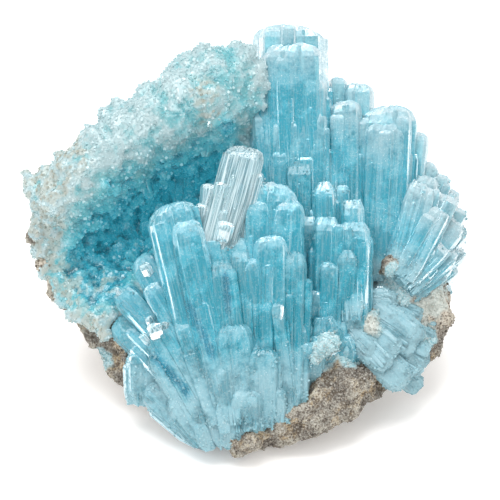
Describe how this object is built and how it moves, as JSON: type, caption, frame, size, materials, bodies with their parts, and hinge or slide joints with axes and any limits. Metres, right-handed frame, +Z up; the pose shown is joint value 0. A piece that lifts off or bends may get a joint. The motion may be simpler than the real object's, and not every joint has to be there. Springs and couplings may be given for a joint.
{
  "type": "hemimorphite crystal specimen",
  "caption": "Pale blue hemimorphite hand specimen: blunt striated prisms in fans over a sugary druse-lined hollow in sandy rock, cut flat where it rests.",
  "frame": {"origin": "a point of the flat cut that the specimen rests on, under its middle", "axes": "+Z up from the surface it rests on, +X to the right of its show face, and the show face looks towards -Y and up"},
  "size_m": [0.0682, 0.056, 0.0493],
  "materials": {
    "sandy_rock": "rough, granular",
    "sugary_druse": "sparkling, translucent",
    "blue_crystal": "glassy, striated, see-through",
    "clear_crystal": "glassy, clear, white striae"
  },
  "bodies": {
    "root": {"matrix": "sandy_rock", "druse_crust": "sugary_druse", "front_spray": "blue_crystal", "clear_crystals": "clear_crystal", "middle_points": "blue_crystal", "rear_columns": "blue_crystal", "right_fan": "blue_crystal", "lower_right_crystals": "blue_crystal"}
  },
  "joints": []
}
